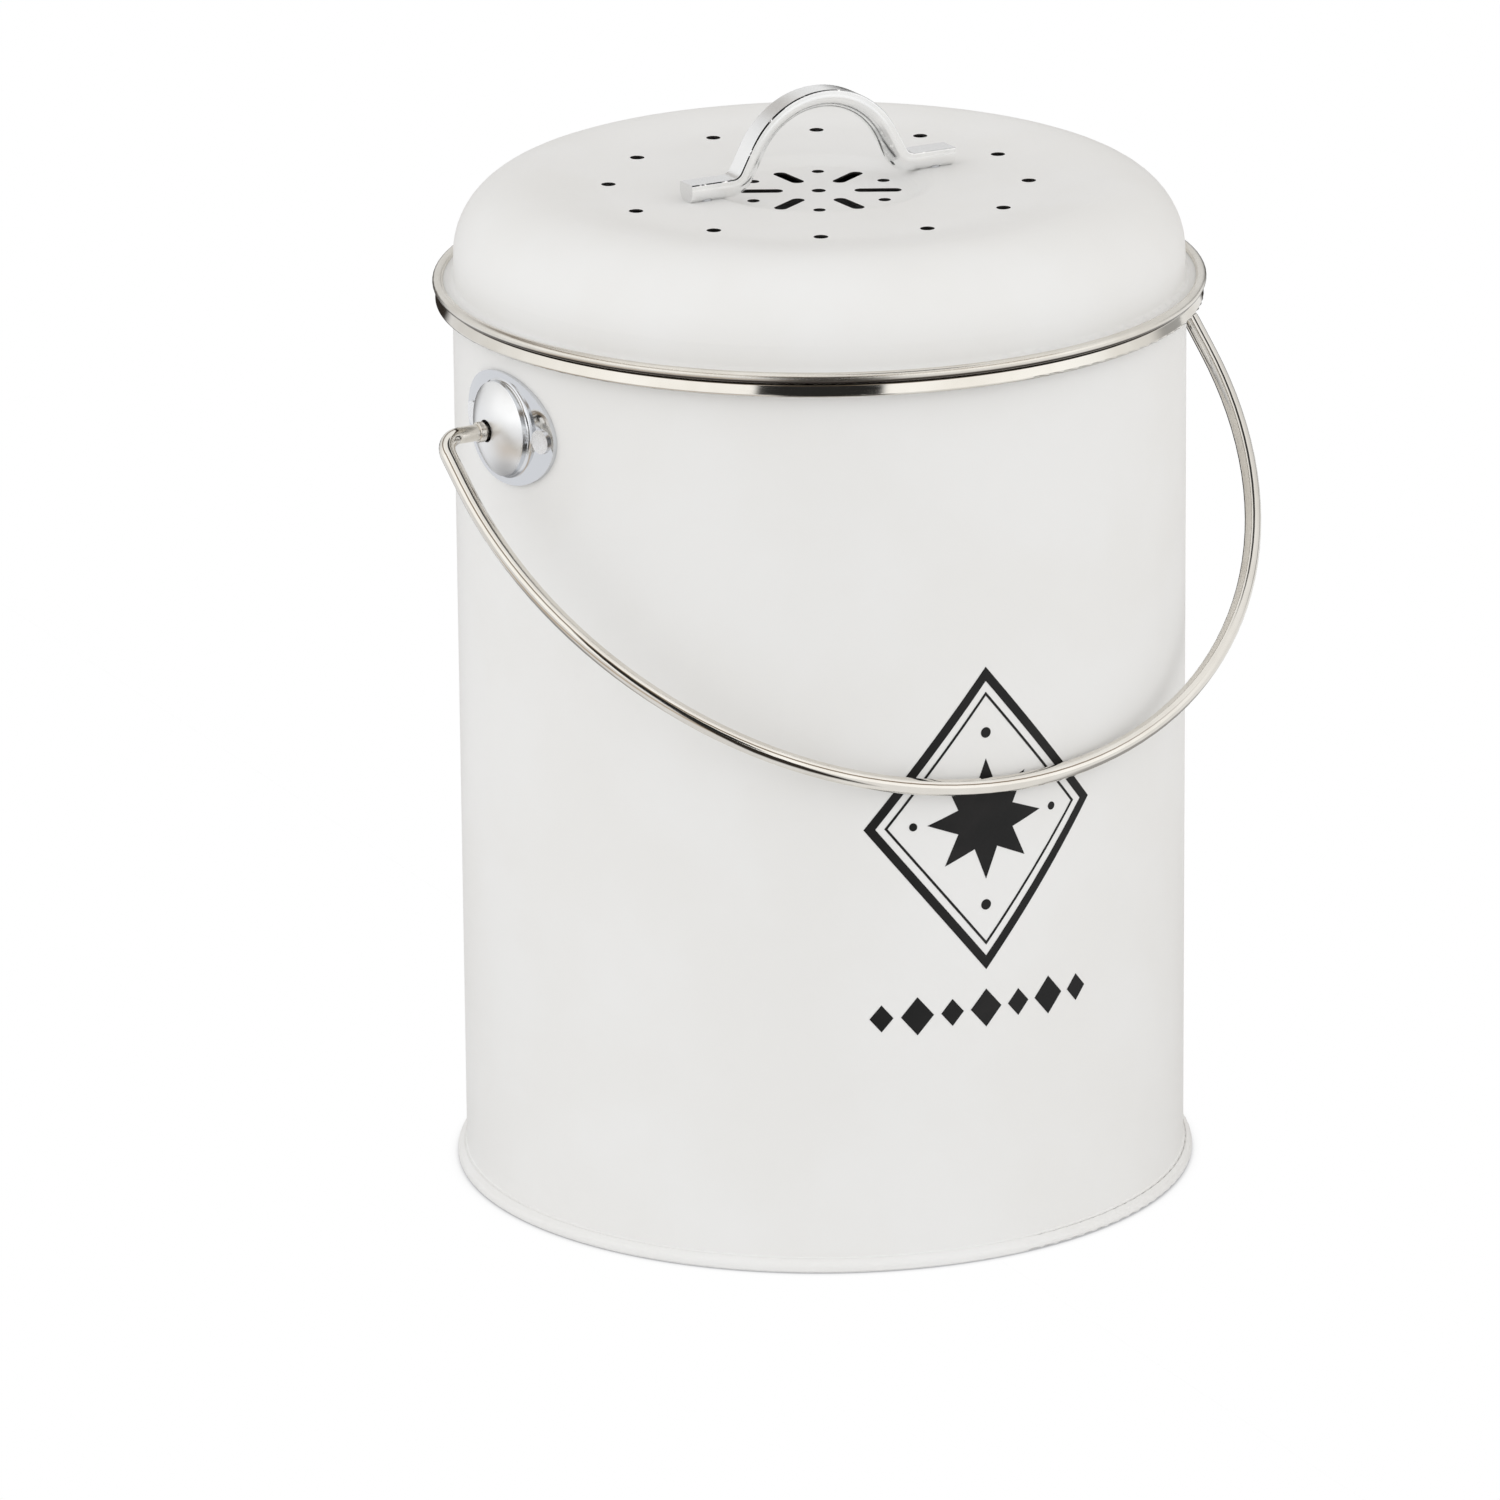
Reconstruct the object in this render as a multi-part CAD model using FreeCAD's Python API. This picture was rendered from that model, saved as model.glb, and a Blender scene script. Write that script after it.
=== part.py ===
import FreeCAD, Part
import math
import os

V = FreeCAD.Vector
UP = V(0, 0, 1)
ORIGIN = V(0, 0, 0)

# Countertop compost bin, in millimetres.  The bin stands on z = 0 with its axis on Z.
# The bail's pivots lie along X, and the front, where the bail rests, faces -Y.

# Sheet steel, shared by the wall, the base and the lid
SHEET = 0.45

# Bin wall and the bead round its mouth
BIN_DIAMETER = 177.4
RIM_HEIGHT = 221.9
RIM_BEAD = 3.1
RIM_REACH = 4.4
RIM_LEAN = 1.1
RIM_SEAT = 1.5
RIM_STRIP = 0.45
RIM_BEND = 0.6
FLANGE_BEND = 0.8

# Base pan and its seam
FLOOR_HEIGHT = 4.4
HEM_HEIGHT = 3.7
HEM_PROUD = 2.2
HEM_SHOULDER = 2.1
HEM_BEND = 0.8
HEM_SHOULDER_BEND = 1.4
HOOK_BEND = 0.5
HOOK_LENGTH = 2.3
PAN_BEND = 1.2

# Lid
LID_REST_GAP = 0.3
LID_BEAD = 2.6
LID_REACH = 4.8
LID_STRIP = 0.45
LID_RISE = 24.7
SHOULDER = 18.3
TOP_SINK = 1.7
SINK_INNER_RADIUS = 54.0
SINK_OUTER_RADIUS = 66.0
SINK_BEND = 48.0
FOOT_BEND = 1.2
COLLAR_PLAY = 0.3
COLLAR_DEPTH = 8.0
COLLAR_OVERLAP = 5.5
COLLAR_LEAD = 1.2
COLLAR_BEND = 1.6
LID_TURN = -3.5

# Vents in the lid
VENT_COUNT = 12
VENT_DIAMETER = 3.5
VENT_CIRCLE = 101.3
VENT_TURN = 1.4
RECESS_RADIUS = 25.0
RECESS_DEPTH = 2.05
RECESS_SLOPE = 4.0
RECESS_BEND = 5.0
ROSETTE_COUNT = 6
ROSETTE_SLOT_WIDTH = 3.3
ROSETTE_SLOT_INNER = 8.6
ROSETTE_SLOT_OUTER = 20.0
ROSETTE_HOLE = 3.0
ROSETTE_HOLE_RADIUS = 18.2
CENTRE_HOLE = 3.4

# Lid handle, a bent D-section bar, and its screws
HANDLE_RISE = 23.5
HANDLE_WIDTH = 6.2
HANDLE_THICK = 4.9
HANDLE_SIDE = 1.2
HANDLE_ARRIS = 0.35
HANDLE_LENGTH = 72.6
HANDLE_SPAN = 44.1
HANDLE_LEG_ANGLE = 62.0
HANDLE_BEND = 5.0
FOOT_FLAT = 0.3
SCREW_SPACING = 63.0
SCREW_DIAMETER = 4.0
SCREW_BITE = 3.2
SCREW_HEAD = 7.6
SCREW_HEAD_HEIGHT = 2.4
SCREW_HEAD_ROUND = 0.8
WASHER_DIAMETER = 9.0
WASHER_THICK = 0.8
HOLE_PLAY = 0.05

# Filter under the lid
FILTER_DIAMETER = 116.0
FILTER_THICK = 10.0
FILTER_ROUND = 1.5
FILTER_PLAY = 0.6
FILTER_HEADROOM = 6.5
SEAT_WALL = 2.6
SEAT_WEB = 2.0
SEAT_LIP = 2.0
SEAT_GRIP = 7.0
SEAT_HUB_INNER = 28.6
SEAT_HUB_OUTER = 37.0
SPOKE_COUNT = 6
SEAT_SPOKE_WIDTH = 5.0
CAP_PLAY = 0.3
CAP_WALL = 1.8
CAP_FLOOR = 2.0
CAP_SKIRT = 13.0
CAP_HUB_RADIUS = 10.0
CAP_RING_RADIUS = 31.0
CAP_RING_WIDTH = 4.0
CAP_LEDGE = 8.0
CAP_SPOKE_WIDTH = 4.0

# Bail ears
PIVOT_DROP = 22.5
EAR_SHEET = 1.0
EAR_LENGTH = 39.2
EAR_HEIGHT = 27.2
EAR_DOME_DIAMETER = 22.9
EAR_DOME_WALL = 1.4
EAR_DOME_RISE = 5.0
EAR_FILLET = 1.0
EAR_HOLE = 5.5
RIVET_SPACING = 30.8
RIVET_HEAD = 5.8
RIVET_HEAD_HEIGHT = 0.6
RIVET_SHANK = 3.2
RIVET_SET_HEAD = 5.2
RIVET_SET_HEIGHT = 0.9

# Bail
BAIL_WIRE = 4.0
BAIL_SIDE_GAP = 10.2
BAIL_LEG = 14.1
BAIL_BEND = 5.0
BAIL_WALL_GAP = 0.3
BAIL_HEAD = 7.4
BAIL_HEAD_THICK = 1.5
BAIL_HEAD_GAP = 0.6
BAIL_COLLAR = 5.0
BAIL_COLLAR_LENGTH = 1.8
BAIL_COLLAR_GAP = 0.5
BAIL_COLLAR_ROUND = 0.4

# Places worked out from the sizes above
WALL_OUT = BIN_DIAMETER / 2
WALL_IN = WALL_OUT - SHEET
RIM_MIDDLE = RIM_HEIGHT - RIM_BEAD / 2
LID_CENTRE = V(WALL_OUT + LID_REACH - LID_BEAD / 2, 0, RIM_HEIGHT + LID_REST_GAP + LID_BEAD / 2)
COLLAR_OUT = WALL_IN - COLLAR_PLAY
LID_FOOT = COLLAR_OUT + SHEET
LID_TOP = LID_CENTRE.z + LID_RISE
PANEL_TOP = LID_TOP - TOP_SINK
PANEL_UNDER = PANEL_TOP - SHEET
SEAT_IN = FILTER_DIAMETER / 2 + FILTER_PLAY
SEAT_OUT = SEAT_IN + SEAT_WALL
FILTER_TOP = PANEL_UNDER - FILTER_HEADROOM
FILTER_BOTTOM = FILTER_TOP - FILTER_THICK
CAP_IN = SEAT_OUT + CAP_PLAY
CAP_OUT = CAP_IN + CAP_WALL
PIVOT = V(0, 0, RIM_HEIGHT - PIVOT_DROP)
EAR_OUT = WALL_OUT + EAR_SHEET
EAR_APEX = EAR_OUT + EAR_DOME_RISE
BAIL_HALF = EAR_APEX + BAIL_SIDE_GAP + BAIL_WIRE / 2
BAIL_BOW = BAIL_HALF + BAIL_LEG


def corner_arc(before, corner, after, radius):
    """The tangent arc of a rounded corner, as its start, middle and end points."""
    to_before = (before - corner).normalize()
    to_after = (after - corner).normalize()
    half = to_before.getAngle(to_after) / 2
    reach = radius / math.tan(half)
    inward = (to_before + to_after).normalize()
    centre = corner + inward * (radius / math.sin(half))
    return corner + to_before * reach, centre - inward * radius, corner + to_after * reach


def rounded_path(points, radii):
    """Edges of an open outline; radii belong to the inner points."""
    edges = []
    start = points[0]
    for index, radius in enumerate(radii, 1):
        first, middle, last = corner_arc(points[index - 1], points[index], points[index + 1], radius)
        edges.append(Part.LineSegment(start, first).toShape())
        edges.append(Part.Arc(first, middle, last).toShape())
        start = last
    edges.append(Part.LineSegment(start, points[-1]).toShape())
    return edges


def turn_sign(before, corner, after):
    """+1 where an outline in the XZ plane turns left, -1 where it turns right."""
    a = corner - before
    b = after - corner
    return 1 if a.x * b.z - a.z * b.x > 0 else -1


def shifted(points, distance):
    """An outline in the XZ plane moved sideways, to its left where distance is positive."""
    lefts = []
    for a, b in zip(points, points[1:]):
        along = (b - a).normalize()
        lefts.append(V(-along.z, 0, along.x))
    moved = [points[0] + lefts[0] * distance]
    for index in range(1, len(points) - 1):
        left_sum = lefts[index - 1] + lefts[index]
        scale = 2 * distance / left_sum.dot(left_sum)
        moved.append(points[index] + left_sum * scale)
    moved.append(points[-1] + lefts[-1] * distance)
    return moved


def sheet_face(points, radii, thickness):
    """Section of a bent sheet: its face outline, and the sheet's thickness to the left of it."""
    back = shifted(points, thickness)
    side = 1 if thickness > 0 else -1
    back_radii = []
    for index, radius in enumerate(radii, 1):
        turn = turn_sign(points[index - 1], points[index], points[index + 1])
        back_radii.append(radius - side * turn * abs(thickness))
    edges = rounded_path(points, radii)
    edges.append(Part.LineSegment(points[-1], back[-1]).toShape())
    edges += rounded_path(back[::-1], back_radii[::-1])
    edges.append(Part.LineSegment(back[0], points[0]).toShape())
    return Part.Face(Part.Wire(Part.__sortEdges__(edges)))


def polygon_face(corners):
    return Part.Face(Part.makePolygon(corners + corners[:1]))


def spun(face):
    return face.revolve(ORIGIN, UP, 360)


def ring(inner, outer, low, high):
    """A plain ring, or a disc where inner is zero."""
    solid = Part.makeCylinder(outer, high - low, V(0, 0, low))
    if inner > 0:
        solid = solid.cut(Part.makeCylinder(inner, high - low, V(0, 0, low)))
    return solid


def polar(radius, degrees, z=0.0):
    angle = math.radians(degrees)
    return V(radius * math.cos(angle), radius * math.sin(angle), z)


def spokes(count, first_angle, inner, outer, width, low, high):
    bars = []
    for index in range(count):
        bar = Part.makeBox(outer - inner, width, high - low, V(inner, -width / 2, low))
        bar.rotate(ORIGIN, UP, first_angle + index * 360 / count)
        bars.append(bar)
    return bars


def curled_bead(centre, diameter, strip, sheet):
    """A rolled steel strip, round in section and open inwards to take the edge of a sheet."""
    outer = diameter / 2
    inner = outer - strip
    slot = sheet / 2 + HOLE_PLAY
    outer_open = math.pi - math.asin(slot / outer)
    inner_open = math.pi - math.asin(slot / inner)

    def at(radius, angle):
        return centre + V(radius * math.cos(angle), 0, radius * math.sin(angle))

    outer_arc = Part.Arc(at(outer, -outer_open), at(outer, 0), at(outer, outer_open)).toShape()
    inner_arc = Part.Arc(at(inner, inner_open), at(inner, 0), at(inner, -inner_open)).toShape()
    upper = Part.LineSegment(at(outer, outer_open), at(inner, inner_open)).toShape()
    lower = Part.LineSegment(at(inner, -inner_open), at(outer, -outer_open)).toShape()
    return spun(Part.Face(Part.Wire([outer_arc, upper, inner_arc, lower])))


def make_bin_rim_bead():
    """Steel strip folded round the wall's flange, with a face that leans in towards the top."""
    seat = WALL_OUT + RIM_SEAT
    foot = WALL_OUT + RIM_REACH
    low = RIM_HEIGHT - RIM_BEAD
    grip = SHEET / 2 + HOLE_PLAY
    outline = [
        V(seat, 0, RIM_MIDDLE - grip),
        V(seat, 0, low),
        V(foot, 0, low),
        V(foot - RIM_LEAN, 0, RIM_HEIGHT),
        V(seat, 0, RIM_HEIGHT),
        V(seat, 0, RIM_MIDDLE + grip),
    ]
    return spun(sheet_face(outline, [RIM_BEND] * 4, RIM_STRIP))


def bead_bite(diameter, strip, sheet):
    """How far past the bead's centre the sheet reaches before it meets the strip."""
    inner = diameter / 2 - strip
    half = sheet / 2
    return math.sqrt(inner * inner - half * half) - HOLE_PLAY


def rivet_places(side):
    """Places and outward directions of one ear's two rivets."""
    places = []
    for offset in (-RIVET_SPACING / 2, RIVET_SPACING / 2):
        out = V(side * math.sqrt(EAR_OUT ** 2 - offset ** 2), offset, 0).normalize()
        places.append((V(0, 0, PIVOT.z), out))
    return places


def rivet_holes(side):
    radius = RIVET_SHANK / 2 + HOLE_PLAY
    depth = EAR_SHEET + SHEET + RIVET_HEAD_HEIGHT
    return [Part.makeCylinder(radius, depth, place + out * (WALL_IN - RIVET_HEAD_HEIGHT / 2), out)
            for place, out in rivet_places(side)]


def make_bin_wall():
    """Rolled sheet with its top edge turned out into the bead."""
    foot = V(WALL_OUT, 0, SHEET + HOLE_PLAY)
    turn = V(WALL_OUT, 0, RIM_MIDDLE - SHEET / 2)
    edge = V(WALL_OUT + RIM_REACH - RIM_LEAN - RIM_STRIP, 0, turn.z)
    wall = spun(sheet_face([foot, turn, edge], [FLANGE_BEND], SHEET))
    for side in (-1, 1):
        wall = wall.cut(rivet_holes(side))
    return wall


def make_bin_base():
    """Pan with a raised floor; its edge runs under the wall and folds into an outside seam."""
    pan_in = WALL_IN - SHEET
    hem_out = WALL_OUT + HEM_PROUD
    floor_under = FLOOR_HEIGHT - SHEET
    hook = WALL_OUT + HOLE_PLAY
    outline = [
        V(0, 0, floor_under),
        V(pan_in, 0, floor_under),
        V(pan_in, 0, 0),
        V(hem_out, 0, 0),
        V(hem_out, 0, HEM_SHOULDER),
        V(hook, 0, HEM_HEIGHT),
        V(hook, 0, HEM_HEIGHT - HOOK_LENGTH),
    ]
    bends = [PAN_BEND, HEM_BEND, HEM_BEND, HEM_SHOULDER_BEND, HOOK_BEND]
    return spun(sheet_face(outline, bends, SHEET))


def make_lid_dome():
    """Pressed lid: sunk vent panel, round shoulder, upright foot and a flange for the bead."""
    recess_floor = PANEL_TOP - RECESS_DEPTH
    flange_top = LID_CENTRE.z + SHEET / 2
    outline = [
        V(0, 0, recess_floor),
        V(RECESS_RADIUS - RECESS_SLOPE / 2, 0, recess_floor),
        V(RECESS_RADIUS + RECESS_SLOPE / 2, 0, PANEL_TOP),
        V(SINK_INNER_RADIUS, 0, PANEL_TOP),
        V(SINK_OUTER_RADIUS, 0, LID_TOP),
        V(LID_FOOT, 0, LID_TOP),
        V(LID_FOOT, 0, flange_top),
        V(LID_CENTRE.x + bead_bite(LID_BEAD, LID_STRIP, SHEET), 0, flange_top),
    ]
    bends = [RECESS_BEND, RECESS_BEND, SINK_BEND, SINK_BEND, SHOULDER, FOOT_BEND]
    dome = spun(sheet_face(outline, bends, -SHEET))
    return dome.cut(vent_cutters() + screw_cutters(PANEL_UNDER - SHEET, PANEL_TOP + SHEET))


def vent_cutters():
    """A circle of round vents, and a rosette of slots and holes in the central recess."""
    low = PANEL_TOP - RECESS_DEPTH - 2 * SHEET
    height = PANEL_TOP + SHEET - low
    cutters = [Part.makeCylinder(CENTRE_HOLE / 2, height, V(0, 0, low))]
    for index in range(VENT_COUNT):
        place = polar(VENT_CIRCLE / 2, VENT_TURN + index * 360 / VENT_COUNT, low)
        cutters.append(Part.makeCylinder(VENT_DIAMETER / 2, height, place))
    step = 360 / ROSETTE_COUNT
    for index in range(ROSETTE_COUNT):
        place = polar(ROSETTE_HOLE_RADIUS, VENT_TURN + index * step, low)
        cutters.append(Part.makeCylinder(ROSETTE_HOLE / 2, height, place))
        cutters.append(rosette_slot(VENT_TURN + (index + 0.5) * step, low, height))
    return cutters


def rosette_slot(degrees, low, height):
    half = ROSETTE_SLOT_WIDTH / 2
    inner = ROSETTE_SLOT_INNER + half
    outer = ROSETTE_SLOT_OUTER - half
    slot = Part.makeBox(outer - inner, 2 * half, height, V(inner, -half, low))
    for end in (inner, outer):
        slot = slot.fuse(Part.makeCylinder(half, height, V(end, 0, low)))
    slot = slot.removeSplitter()
    slot.rotate(ORIGIN, UP, degrees)
    return slot


def screw_cutters(low, high):
    radius = SCREW_DIAMETER / 2 + HOLE_PLAY
    places = (-SCREW_SPACING / 2, SCREW_SPACING / 2)
    return [Part.makeCylinder(radius, high - low, V(x, 0, low)) for x in places]


def make_lid_collar():
    """Band welded inside the lid's foot; it drops into the mouth and keeps the lid central."""
    top = LID_CENTRE.z + COLLAR_OVERLAP
    bottom = RIM_HEIGHT - COLLAR_DEPTH
    outline = [
        V(COLLAR_OUT, 0, top),
        V(COLLAR_OUT, 0, bottom + 2 * COLLAR_LEAD),
        V(COLLAR_OUT - COLLAR_LEAD, 0, bottom),
    ]
    return spun(sheet_face(outline, [COLLAR_BEND], -SHEET))


def make_lid_handle():
    """Bar of D section bent to an arch on two feet, flat side up, tapped from below."""
    under = PANEL_TOP - FOOT_FLAT
    foot = under + HANDLE_THICK / 2
    crown = PANEL_TOP + HANDLE_RISE - HANDLE_THICK / 2
    end = HANDLE_LENGTH / 2
    corner = HANDLE_SPAN / 2
    slope = math.radians(HANDLE_LEG_ANGLE)
    rise = crown - foot
    arch = (corner * math.sin(slope) - rise * math.cos(slope)) / (1 - math.cos(slope))
    peak = foot + corner * math.tan(slope)
    points = [V(-end, 0, foot), V(-corner, 0, foot), V(0, 0, peak), V(corner, 0, foot), V(end, 0, foot)]
    path = Part.Wire(rounded_path(points, [HANDLE_BEND, arch, HANDLE_BEND]))
    half = HANDLE_WIDTH / 2
    left = V(-end, -half, under + HANDLE_THICK)
    right = V(-end, half, under + HANDLE_THICK)
    left_side = left - UP * HANDLE_SIDE
    right_side = right - UP * HANDLE_SIDE
    flat = rounded_path([left_side, left, right, right_side], [HANDLE_ARRIS, HANDLE_ARRIS])
    belly = Part.Arc(right_side, V(-end, 0, under), left_side).toShape()
    section = Part.Wire(flat + [belly])
    bar = path.makePipeShell([section], True, False)
    below = ring(0, HANDLE_LENGTH, under - SHEET, PANEL_TOP)
    return bar.cut([below] + screw_cutters(PANEL_TOP - SHEET, PANEL_TOP + SCREW_BITE + HOLE_PLAY))


def make_handle_screws():
    """Two pan-head screws, up through the filter seat and the lid into the handle's feet."""
    seat_under = PANEL_UNDER - SEAT_WEB
    head_top = seat_under - WASHER_THICK
    length = PANEL_TOP + SCREW_BITE - head_top
    screws = []
    for x in (-SCREW_SPACING / 2, SCREW_SPACING / 2):
        head = Part.makeCylinder(SCREW_HEAD / 2, SCREW_HEAD_HEIGHT, V(x, 0, head_top - SCREW_HEAD_HEIGHT))
        lower_edge = [edge for edge in head.Edges if edge.BoundBox.ZMax < head_top - SCREW_HEAD_HEIGHT / 2]
        head = head.makeFillet(SCREW_HEAD_ROUND, lower_edge)
        shank = Part.makeCylinder(SCREW_DIAMETER / 2, length, V(x, 0, head_top))
        screws.append(head.fuse(shank))
    return Part.makeCompound(screws)


def make_handle_washers():
    top = PANEL_UNDER - SEAT_WEB
    discs = []
    for x in (-SCREW_SPACING / 2, SCREW_SPACING / 2):
        disc = Part.makeCylinder(WASHER_DIAMETER / 2, WASHER_THICK, V(x, 0, top - WASHER_THICK))
        discs.append(disc.cut(screw_cutters(top - 2 * WASHER_THICK, top + WASHER_THICK)))
    return Part.makeCompound(discs)


def make_filter_seat():
    """Moulded holder under the vents: a spoked web clamped by the handle's screws, and a cup wall."""
    web_low = PANEL_UNDER - SEAT_WEB
    lip_low = FILTER_TOP + CAP_PLAY
    wall_low = FILTER_TOP - SEAT_GRIP
    wall = polygon_face([
        V(SEAT_OUT, 0, PANEL_UNDER),
        V(SEAT_OUT, 0, wall_low),
        V(SEAT_IN, 0, wall_low),
        V(SEAT_IN, 0, lip_low),
        V(SEAT_IN - SEAT_LIP, 0, lip_low),
        V(SEAT_IN - SEAT_LIP, 0, PANEL_UNDER),
    ])
    hub = ring(SEAT_HUB_INNER, SEAT_HUB_OUTER, web_low, PANEL_UNDER)
    first = 180 / VENT_COUNT
    inner = (SEAT_HUB_INNER + SEAT_HUB_OUTER) / 2
    arms = spokes(SPOKE_COUNT, first, inner, SEAT_IN, SEAT_SPOKE_WIDTH, web_low, PANEL_UNDER)
    seat = spun(wall).fuse([hub] + arms).removeSplitter()
    return seat.cut(screw_cutters(web_low - SEAT_WEB, PANEL_TOP))


def make_charcoal_filter():
    pad = Part.makeCylinder(FILTER_DIAMETER / 2, FILTER_THICK, V(0, 0, FILTER_BOTTOM))
    rims = [edge for edge in pad.Edges if isinstance(edge.Curve, Part.Circle)]
    return pad.makeFillet(FILTER_ROUND, rims)


def make_filter_cap():
    """Spoked cover that pushes over the seat from below and carries the filter."""
    low = FILTER_BOTTOM - CAP_FLOOR
    skirt = ring(CAP_IN, CAP_OUT, low, low + CAP_SKIRT)
    ledge = ring(FILTER_DIAMETER / 2 - CAP_LEDGE, CAP_OUT, low, FILTER_BOTTOM)
    hub = ring(0, CAP_HUB_RADIUS, low, FILTER_BOTTOM)
    half = CAP_RING_WIDTH / 2
    middle = ring(CAP_RING_RADIUS - half, CAP_RING_RADIUS + half, low, FILTER_BOTTOM)
    outer = FILTER_DIAMETER / 2 - CAP_LEDGE / 2
    arms = spokes(SPOKE_COUNT, 0, CAP_HUB_RADIUS / 2, outer, CAP_SPOKE_WIDTH, low, FILTER_BOTTOM)
    return skirt.fuse([ledge, hub, middle] + arms).removeSplitter()


def ear_outline():
    """Flat outline of the ear's flange, an oval lying along the wall."""
    oval = Part.Ellipse(V(0, EAR_LENGTH / 2, 0), V(0, 0, EAR_HEIGHT / 2), ORIGIN)
    return Part.Wire(oval.toShape())


def dome_face(shrink):
    """Half section of the ear's dome about the pivot axis, thinner by shrink for its hollow."""
    base = EAR_DOME_DIAMETER / 2
    cap = EAR_DOME_RISE - EAR_DOME_WALL
    sphere = (base * base + cap * cap) / (2 * cap)
    centre = EAR_APEX - sphere
    radius = sphere - shrink
    edge = base - shrink
    middle = edge / 2
    shoulder = V(centre + math.sqrt(radius * radius - edge * edge), 0, edge)
    crest = V(centre + math.sqrt(radius * radius - middle * middle), 0, middle)
    apex = V(centre + radius, 0, 0)
    start = V(WALL_IN, 0, 0)
    corner = V(WALL_IN, 0, edge)
    edges = [
        Part.LineSegment(start, corner).toShape(),
        Part.LineSegment(corner, shoulder).toShape(),
        Part.Arc(shoulder, crest, apex).toShape(),
        Part.LineSegment(apex, start).toShape(),
    ]
    return Part.Face(Part.Wire(edges))


def make_ear(side):
    """Stamped ear: a flange bent to the wall, and a hollow dome that traps the bail's end."""
    blank = Part.Face(ear_outline()).extrude(V(2 * WALL_OUT, 0, 0))
    shell = ring(0, EAR_OUT, -EAR_HEIGHT, EAR_HEIGHT)
    flange = blank.common(shell)
    dome = dome_face(0).revolve(ORIGIN, V(1, 0, 0), 360)
    ear = flange.fuse(dome)
    ear = ear.cut(ring(0, WALL_OUT, -EAR_HEIGHT, EAR_HEIGHT))
    root = dome_root_edges(ear)
    ear = ear.makeFillet(EAR_FILLET, root)
    ear = ear.cut(dome_face(EAR_SHEET).revolve(ORIGIN, V(1, 0, 0), 360))
    ear = ear.cut(Part.makeCylinder(EAR_HOLE / 2, 2 * WALL_OUT, ORIGIN, V(1, 0, 0)))
    if side < 0:
        ear.rotate(ORIGIN, UP, 180)
    ear.translate(PIVOT)
    return ear.cut(rivet_holes(side))


def dome_root_edges(ear):
    """The edges where the dome's upright wall meets the flange's outer face."""
    base = EAR_DOME_DIAMETER / 2
    found = []
    for edge in ear.Edges:
        middle = edge.valueAt((edge.FirstParameter + edge.LastParameter) / 2)
        from_pivot = math.hypot(middle.y, middle.z)
        from_axis = math.hypot(middle.x, middle.y)
        if abs(from_pivot - base) < HOLE_PLAY and abs(from_axis - EAR_OUT) < HOLE_PLAY:
            found.append(edge)
    return found


def make_ear_rivets(side):
    """Two rivets: flat heads outside on the flange, set heads inside on the wall."""
    rivets = []
    outside = ring(0, EAR_OUT, 0, RIM_HEIGHT)
    inside = ring(0, WALL_IN, 0, RIM_HEIGHT)
    for place, out in rivet_places(side):
        head_top = EAR_OUT + RIVET_HEAD_HEIGHT
        head_low = place + out * (EAR_OUT - RIVET_HEAD_HEIGHT)
        head = Part.makeCylinder(RIVET_HEAD / 2, 2 * RIVET_HEAD_HEIGHT, head_low, out)
        head = head.cut(outside)
        set_low = WALL_IN - RIVET_SET_HEIGHT
        set_head = Part.makeCylinder(RIVET_SET_HEAD / 2, 2 * RIVET_SET_HEIGHT, place + out * set_low, out)
        set_head = set_head.common(inside)
        shank_low = WALL_IN - RIVET_SET_HEIGHT / 2
        shank_length = head_top - RIVET_HEAD_HEIGHT / 2 - shank_low
        shank = Part.makeCylinder(RIVET_SHANK / 2, shank_length, place + out * shank_low, out)
        rivets.append(shank.fuse([head, set_head]).removeSplitter())
    return Part.makeCompound(rivets)


def bail_rest_angle():
    """How far below level the bail hangs when its bow touches the front wall."""
    return math.degrees(math.acos((WALL_OUT + BAIL_WIRE / 2 + BAIL_WALL_GAP) / BAIL_BOW))


def make_bail_handle():
    """Wire bail: headed ends in the ears, tight bends, short legs and a half-round bow."""
    head_in = WALL_OUT + BAIL_HEAD_GAP
    left_end = V(-head_in, 0, 0)
    left_corner = V(-BAIL_HALF, 0, 0)
    left_bow = V(-BAIL_HALF, -BAIL_LEG, 0)
    right_bow = V(BAIL_HALF, -BAIL_LEG, 0)
    right_corner = V(BAIL_HALF, 0, 0)
    right_end = V(head_in, 0, 0)
    left_arc = corner_arc(left_end, left_corner, left_bow, BAIL_BEND)
    right_arc = corner_arc(right_bow, right_corner, right_end, BAIL_BEND)
    path = Part.Wire([
        Part.LineSegment(left_end, left_arc[0]).toShape(),
        Part.Arc(*left_arc).toShape(),
        Part.LineSegment(left_arc[2], left_bow).toShape(),
        Part.Arc(left_bow, V(0, -BAIL_BOW, 0), right_bow).toShape(),
        Part.LineSegment(right_bow, right_arc[0]).toShape(),
        Part.Arc(*right_arc).toShape(),
        Part.LineSegment(right_arc[2], right_end).toShape(),
    ])
    section = Part.Wire(Part.makeCircle(BAIL_WIRE / 2, left_end, V(1, 0, 0)))
    bail = path.makePipeShell([section], True, False)
    collar_in = EAR_APEX + BAIL_COLLAR_GAP
    for out in (V(-1, 0, 0), V(1, 0, 0)):
        head = Part.makeCylinder(BAIL_HEAD / 2, BAIL_HEAD_THICK, out * head_in, out)
        collar = Part.makeCylinder(BAIL_COLLAR / 2, BAIL_COLLAR_LENGTH, out * collar_in, out)
        rims = [edge for edge in collar.Edges if isinstance(edge.Curve, Part.Circle)]
        collar = collar.makeFillet(BAIL_COLLAR_ROUND, rims)
        bail = bail.fuse([head, collar])
    bail = bail.removeSplitter()
    bail.rotate(ORIGIN, V(1, 0, 0), bail_rest_angle())
    bail.translate(PIVOT)
    return bail


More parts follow.
